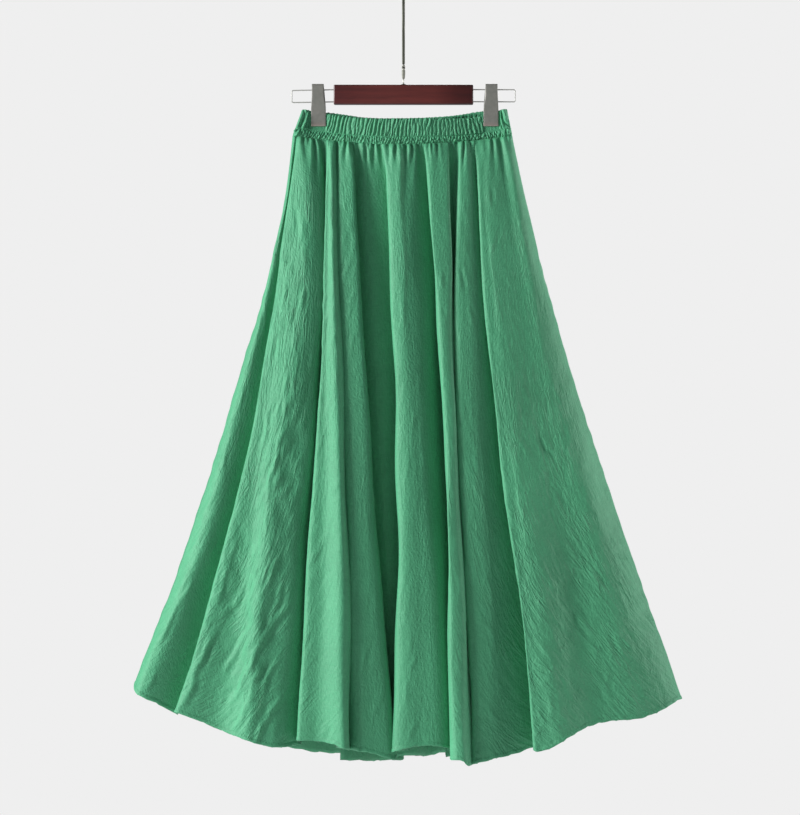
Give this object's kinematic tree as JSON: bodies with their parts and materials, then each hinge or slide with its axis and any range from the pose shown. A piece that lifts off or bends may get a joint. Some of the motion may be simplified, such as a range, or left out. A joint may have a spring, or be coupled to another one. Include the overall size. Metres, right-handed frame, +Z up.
{
  "type": "maxi skirt on a clip hanger",
  "caption": "Long flared skirt with a gathered elastic waistband and deep soft folds, hung by its waist from a wooden bar hanger with sliding clips.",
  "frame": {"origin": "the point where a rail touches the underside of the hanger hook's crown", "axes": "+Z up; +X to the right as the front of the skirt is looked at; the front of the skirt faces -Y"},
  "size_m": [0.7766, 0.1603, 1.1566],
  "materials": {
    "cloth": "crinkled plain weave",
    "waistband_cloth": "crinkled plain weave, gathered",
    "bar_wood": "dark stained, satin lacquer",
    "hook_wire": "drawn wire",
    "ferrule_metal": "polished",
    "loop_wire": "bright plated wire",
    "clip_metal": "satin grey"
  },
  "bodies": {
    "root": {"front_panel": "cloth", "back_panel": "cloth", "waistband_front": "waistband_cloth", "waistband_back": "waistband_cloth", "hanger_bar": "bar_wood", "hook": "hook_wire", "ferrule": "ferrule_metal", "wire_loop_left": "loop_wire", "wire_loop_right": "loop_wire", "clip_left": "clip_metal", "clip_right": "clip_metal"}
  },
  "joints": []
}
